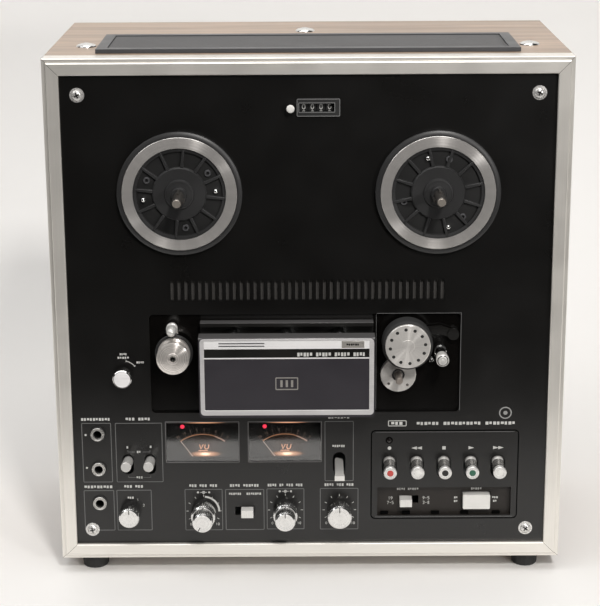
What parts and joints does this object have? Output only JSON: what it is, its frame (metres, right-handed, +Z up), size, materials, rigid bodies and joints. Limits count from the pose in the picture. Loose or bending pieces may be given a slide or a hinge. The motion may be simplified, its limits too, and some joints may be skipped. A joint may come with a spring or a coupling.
{
  "type": "reel-to-reel tape deck",
  "caption": "Upright wooden-cased reel-to-reel tape deck with reel tables, head cover, pinch roller, level meters, knobs, levers and piano-style transport keys.",
  "frame": {"origin": "on the resting surface, under the middle of the deck's bounding box", "axes": "+Z up, +X to the deck's right as seen from the front, +Y from the front to the back"},
  "size_m": [0.41, 0.258, 0.4304],
  "materials": {
    "wood_case": "light walnut veneer, satin",
    "trim": "champagne anodised, brushed",
    "panel": "satin black",
    "steel": "zinc plated",
    "board": "matte black",
    "rubber": "matte",
    "grille": "grey, matte",
    "motor": "grey, satin",
    "table": "satin black",
    "satin": "satin turned",
    "chrome": "polished",
    "cover": "dark grey, satin",
    "head": "lapped",
    "white": "white",
    "dial": "black",
    "needle": "white",
    "wheel": "black",
    "brass": "turned"
  },
  "bodies": {
    "deck": {"cabinet": "wood_case", "trim_frame": "trim", "front_panel": "panel", "chassis_plate": "steel", "rear_cover": "board", "foot_front_left": "rubber", "foot_front_right": "rubber", "foot_rear_left": "rubber", "foot_rear_right": "rubber", "top_vent_grille": "grille", "supply_reel_motor": "motor", "takeup_reel_motor": "motor", "capstan_motor": "motor", "capstan_bearing": "satin", "head_housing": "trim", "erase_head": "head", "record_head": "head", "playback_head": "head", "jack_strip": "steel", "vu_meter_left": "dial", "vu_meter_right": "dial", "transport_bezel": "panel", "counter_frame": "wheel"},
    "supply_reel_table": {"supply_reel_table": "table"},
    "takeup_reel_table": {"takeup_reel_table": "table"},
    "supply_spindle": {"supply_spindle": "satin"},
    "takeup_spindle": {"takeup_spindle": "satin"},
    "supply_tension_arm": {"supply_tension_arm": "chrome"},
    "supply_guide_roller": {"supply_guide_roller": "satin"},
    "takeup_tension_arm": {"takeup_tension_arm": "chrome"},
    "capstan_flywheel": {"capstan_flywheel": "steel"},
    "motor_pulley": {"motor_pulley": "brass"},
    "pinch_roller_arm": {"pinch_roller_arm": "table"},
    "pinch_roller": {"pinch_roller": "rubber"},
    "head_cover": {"head_cover": "cover"},
    "pause_button": {"pause_button": "chrome"},
    "rec_mode_lever_left": {"rec_mode_lever_left": "chrome"},
    "rec_mode_lever_right": {"rec_mode_lever_right": "chrome"},
    "mic_attenuator_knob": {"mic_attenuator_knob": "chrome"},
    "mic_volume_outer_knob": {"mic_volume_outer_knob": "chrome"},
    "mic_volume_inner_knob": {"mic_volume_inner_knob": "chrome"},
    "line_in_volume_outer_knob": {"line_in_volume_outer_knob": "chrome"},
    "line_in_volume_inner_knob": {"line_in_volume_inner_knob": "chrome"},
    "line_out_volume_knob": {"line_out_volume_knob": "chrome"},
    "tape_select_slider": {"tape_select_slider": "white"},
    "monitor_lever": {"monitor_lever": "chrome"},
    "record_key": {"record_key": "chrome"},
    "rewind_key": {"rewind_key": "chrome"},
    "stop_key": {"stop_key": "chrome"},
    "play_key": {"play_key": "chrome"},
    "fast_forward_key": {"fast_forward_key": "chrome"},
    "tape_speed_slider": {"tape_speed_slider": "white"},
    "power_button": {"power_button": "white"},
    "vu_needle_left": {"vu_needle_left": "needle"},
    "vu_needle_right": {"vu_needle_right": "needle"},
    "counter_reset_button": {"counter_reset_button": "chrome"},
    "counter_wheel_1": {"counter_wheel_1": "wheel"},
    "counter_wheel_2": {"counter_wheel_2": "wheel"},
    "counter_wheel_3": {"counter_wheel_3": "wheel"},
    "counter_wheel_4": {"counter_wheel_4": "wheel"}
  },
  "joints": [
    {"name": "supply_reel_turn", "type": "hinge", "parent": "deck", "child": "supply_reel_table", "pos_m": [-0.101, -0.093, 0.3213], "axis": [0, 1, 0], "continuous": true},
    {"name": "takeup_reel_turn", "type": "hinge", "parent": "deck", "child": "takeup_reel_table", "pos_m": [0.101, -0.093, 0.3213], "axis": [0, 1, 0], "continuous": true},
    {"name": "supply_spindle_lock", "type": "hinge", "parent": "supply_reel_table", "child": "supply_spindle", "pos_m": [-0.101, -0.093, 0.3213], "axis": [0, 1, 0], "range_deg": [0, 60]},
    {"name": "takeup_spindle_lock", "type": "hinge", "parent": "takeup_reel_table", "child": "takeup_spindle", "pos_m": [0.101, -0.093, 0.3213], "axis": [0, 1, 0], "range_deg": [0, 60]},
    {"name": "supply_tension_swing", "type": "hinge", "parent": "deck", "child": "supply_tension_arm", "pos_m": [-0.1084, -0.093, 0.1908], "axis": [0, 1, 0], "range_deg": [-25, 25], "stiffness_Nm_per_rad": 0.03},
    {"name": "supply_guide_turn", "type": "hinge", "parent": "deck", "child": "supply_guide_roller", "pos_m": [-0.1084, -0.093, 0.1908], "axis": [0, 1, 0], "continuous": true},
    {"name": "takeup_tension_swing", "type": "hinge", "parent": "deck", "child": "takeup_tension_arm", "pos_m": [0.0979, -0.093, 0.183], "axis": [0, 1, 0], "range_deg": [0, 40], "stiffness_Nm_per_rad": 0.03, "springref_deg": -11.46},
    {"name": "capstan_turn", "type": "hinge", "parent": "deck", "child": "capstan_flywheel", "pos_m": [0.0714, -0.093, 0.171], "axis": [0, 1, 0], "continuous": true},
    {"name": "motor_turn", "type": "hinge", "parent": "deck", "child": "motor_pulley", "pos_m": [-0.02, -0.093, 0.171], "axis": [0, 1, 0], "continuous": true},
    {"name": "pinch_arm_swing", "type": "hinge", "parent": "deck", "child": "pinch_roller_arm", "pos_m": [0.115, -0.093, 0.205], "axis": [0, -1, 0], "range_deg": [0, 10.5], "stiffness_Nm_per_rad": 0.15, "springref_deg": -11.46},
    {"name": "pinch_roller_turn", "type": "hinge", "parent": "pinch_roller_arm", "child": "pinch_roller", "pos_m": [0.0778, -0.093, 0.2004], "axis": [0, 1, 0], "continuous": true},
    {"name": "head_cover_swing", "type": "hinge", "parent": "deck", "child": "head_cover", "pos_m": [0, -0.092, 0.1465], "axis": [1, 0, 0], "range_deg": [0, 65]},
    {"name": "pause_press", "type": "slide", "parent": "deck", "child": "pause_button", "axis": [0, 1, 0], "range_m": [0, 0.003], "stiffness_N_per_m": 200, "springref_m": -0.001},
    {"name": "rec_mode_left_tip", "type": "hinge", "parent": "deck", "child": "rec_mode_lever_left", "pos_m": [-0.1483, -0.071, 0.095], "axis": [1, 0, 0], "range_deg": [0, 15]},
    {"name": "rec_mode_right_tip", "type": "hinge", "parent": "deck", "child": "rec_mode_lever_right", "pos_m": [-0.1302, -0.071, 0.095], "axis": [1, 0, 0], "range_deg": [0, 15]},
    {"name": "monitor_tip", "type": "hinge", "parent": "deck", "child": "monitor_lever", "pos_m": [0.0239, -0.071, 0.095], "axis": [1, 0, 0], "range_deg": [-16, 0]},
    {"name": "mic_attenuator_turn", "type": "hinge", "parent": "deck", "child": "mic_attenuator_knob", "pos_m": [-0.1479, -0.093, 0.0525], "axis": [0, 1, 0], "range_deg": [0, 60]},
    {"name": "mic_outer_turn", "type": "hinge", "parent": "deck", "child": "mic_volume_outer_knob", "pos_m": [-0.0873, -0.093, 0.0536], "axis": [0, 1, 0], "range_deg": [0, 300]},
    {"name": "mic_inner_turn", "type": "hinge", "parent": "deck", "child": "mic_volume_inner_knob", "pos_m": [-0.0873, -0.093, 0.0536], "axis": [0, 1, 0], "range_deg": [0, 300]},
    {"name": "line_in_outer_turn", "type": "hinge", "parent": "deck", "child": "line_in_volume_outer_knob", "pos_m": [-0.0202, -0.093, 0.0542], "axis": [0, 1, 0], "range_deg": [-150, 150]},
    {"name": "line_in_inner_turn", "type": "hinge", "parent": "deck", "child": "line_in_volume_inner_knob", "pos_m": [-0.0202, -0.093, 0.0542], "axis": [0, 1, 0], "range_deg": [-150, 150]},
    {"name": "line_out_turn", "type": "hinge", "parent": "deck", "child": "line_out_volume_knob", "pos_m": [0.0241, -0.093, 0.0541], "axis": [0, 1, 0], "range_deg": [-150, 150]},
    {"name": "tape_select_slide", "type": "slide", "parent": "deck", "child": "tape_select_slider", "axis": [1, 0, 0], "range_m": [-0.0048, 0]},
    {"name": "tape_speed_slide", "type": "slide", "parent": "deck", "child": "tape_speed_slider", "axis": [1, 0, 0], "range_m": [0, 0.0055]},
    {"name": "power_press", "type": "slide", "parent": "deck", "child": "power_button", "axis": [0, 1, 0], "range_m": [0, 0.003], "stiffness_N_per_m": 200, "springref_m": -0.001},
    {"name": "record_key_press", "type": "hinge", "parent": "deck", "child": "record_key", "pos_m": [0.0649, -0.069, 0.0925], "axis": [1, 0, 0], "range_deg": [0, 7], "stiffness_Nm_per_rad": 0.06, "springref_deg": -5.73},
    {"name": "rewind_key_press", "type": "hinge", "parent": "deck", "child": "rewind_key", "pos_m": [0.0872, -0.069, 0.0925], "axis": [1, 0, 0], "range_deg": [0, 7], "stiffness_Nm_per_rad": 0.06, "springref_deg": -5.73},
    {"name": "stop_key_press", "type": "hinge", "parent": "deck", "child": "stop_key", "pos_m": [0.1093, -0.069, 0.0925], "axis": [1, 0, 0], "range_deg": [0, 7], "stiffness_Nm_per_rad": 0.06, "springref_deg": -5.73},
    {"name": "play_key_press", "type": "hinge", "parent": "deck", "child": "play_key", "pos_m": [0.1314, -0.069, 0.0925], "axis": [1, 0, 0], "range_deg": [0, 7], "stiffness_Nm_per_rad": 0.06, "springref_deg": -5.73},
    {"name": "fast_forward_key_press", "type": "hinge", "parent": "deck", "child": "fast_forward_key", "pos_m": [0.1535, -0.069, 0.0925], "axis": [1, 0, 0], "range_deg": [0, 7], "stiffness_Nm_per_rad": 0.06, "springref_deg": -5.73},
    {"name": "needle_left_swing", "type": "hinge", "parent": "deck", "child": "vu_needle_left", "pos_m": [-0.0874, -0.0848, 0.0885], "axis": [0, 1, 0], "range_deg": [0, 72], "stiffness_Nm_per_rad": 0.00001, "springref_deg": -45.84},
    {"name": "needle_right_swing", "type": "hinge", "parent": "deck", "child": "vu_needle_right", "pos_m": [-0.0203, -0.0848, 0.0885], "axis": [0, 1, 0], "range_deg": [0, 72], "stiffness_Nm_per_rad": 0.00001, "springref_deg": -45.84},
    {"name": "counter_reset_press", "type": "slide", "parent": "deck", "child": "counter_reset_button", "axis": [0, 1, 0], "range_m": [0, 0.003], "stiffness_N_per_m": 100, "springref_m": -0.001},
    {"name": "counter_wheel_1_turn", "type": "hinge", "parent": "deck", "child": "counter_wheel_1", "pos_m": [-0.0037, -0.077, 0.3883], "axis": [1, 0, 0], "continuous": true},
    {"name": "counter_wheel_2_turn", "type": "hinge", "parent": "deck", "child": "counter_wheel_2", "pos_m": [0.003, -0.077, 0.3883], "axis": [1, 0, 0], "continuous": true},
    {"name": "counter_wheel_3_turn", "type": "hinge", "parent": "deck", "child": "counter_wheel_3", "pos_m": [0.0097, -0.077, 0.3883], "axis": [1, 0, 0], "continuous": true},
    {"name": "counter_wheel_4_turn", "type": "hinge", "parent": "deck", "child": "counter_wheel_4", "pos_m": [0.0164, -0.077, 0.3883], "axis": [1, 0, 0], "continuous": true}
  ],
  "couplings": [
    {"joint": "motor_turn", "follows": "capstan_turn", "ratio": 6},
    {"joint": "counter_wheel_1_turn", "follows": "supply_reel_turn", "ratio": 0.0001},
    {"joint": "counter_wheel_2_turn", "follows": "supply_reel_turn", "ratio": 0.001},
    {"joint": "counter_wheel_3_turn", "follows": "supply_reel_turn", "ratio": 0.01},
    {"joint": "counter_wheel_4_turn", "follows": "supply_reel_turn", "ratio": 0.1}
  ]
}
